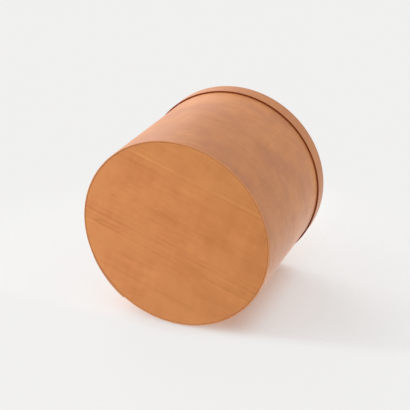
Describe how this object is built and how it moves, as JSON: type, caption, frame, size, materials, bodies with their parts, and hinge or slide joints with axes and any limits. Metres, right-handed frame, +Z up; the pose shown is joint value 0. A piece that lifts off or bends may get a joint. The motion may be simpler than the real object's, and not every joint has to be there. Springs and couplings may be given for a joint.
{
  "type": "bentwood pantry box",
  "caption": "Round bentwood box with a flush base and a lift-off lid whose rim slips over the side; lapped ends, clinched tacks and wooden pegs.",
  "frame": {"origin": "centre of the base's underside, on the surface that the box stands on", "axes": "+Z up along the box's axis, from the base to the lid; the laps and finger joints face -Y; +X is to the right of someone who looks at them"},
  "size_m": [0.2138, 0.2151, 0.18],
  "materials": {
    "side_cherry": "steam-bent cherry, oiled, satin, with its figure running round the box",
    "board_cherry": "flat cherry board, oiled, satin, straight grain",
    "peg_wood": "end grain of hardwood pegs, cut flush and oiled",
    "copper": "copper tacks, lightly aged"
  },
  "bodies": {
    "box": {"side_band": "side_cherry", "bottom_board": "board_cherry", "side_tack_1": "copper", "side_tack_2": "copper", "side_tack_3": "copper", "side_tack_4": "copper", "side_tack_5": "copper", "side_tack_6": "copper", "side_tack_7": "copper", "side_tack_8": "copper", "bottom_peg_01": "peg_wood", "bottom_peg_02": "peg_wood", "bottom_peg_03": "peg_wood", "bottom_peg_04": "peg_wood", "bottom_peg_05": "peg_wood", "bottom_peg_06": "peg_wood", "bottom_peg_07": "peg_wood", "bottom_peg_08": "peg_wood", "bottom_peg_09": "peg_wood", "bottom_peg_10": "peg_wood", "bottom_peg_11": "peg_wood", "bottom_peg_12": "peg_wood"},
    "lid": {"lid_band": "side_cherry", "lid_board": "board_cherry", "lid_tack_1": "copper", "lid_tack_2": "copper", "lid_peg_01": "peg_wood", "lid_peg_02": "peg_wood", "lid_peg_03": "peg_wood", "lid_peg_04": "peg_wood", "lid_peg_05": "peg_wood", "lid_peg_06": "peg_wood", "lid_peg_07": "peg_wood", "lid_peg_08": "peg_wood", "lid_peg_09": "peg_wood", "lid_peg_10": "peg_wood", "lid_peg_11": "peg_wood", "lid_peg_12": "peg_wood"}
  },
  "joints": [
    {"name": "lid_lift", "type": "slide", "parent": "box", "child": "lid", "axis": [0, 0, 1], "range_m": [0, 0.2]}
  ]
}
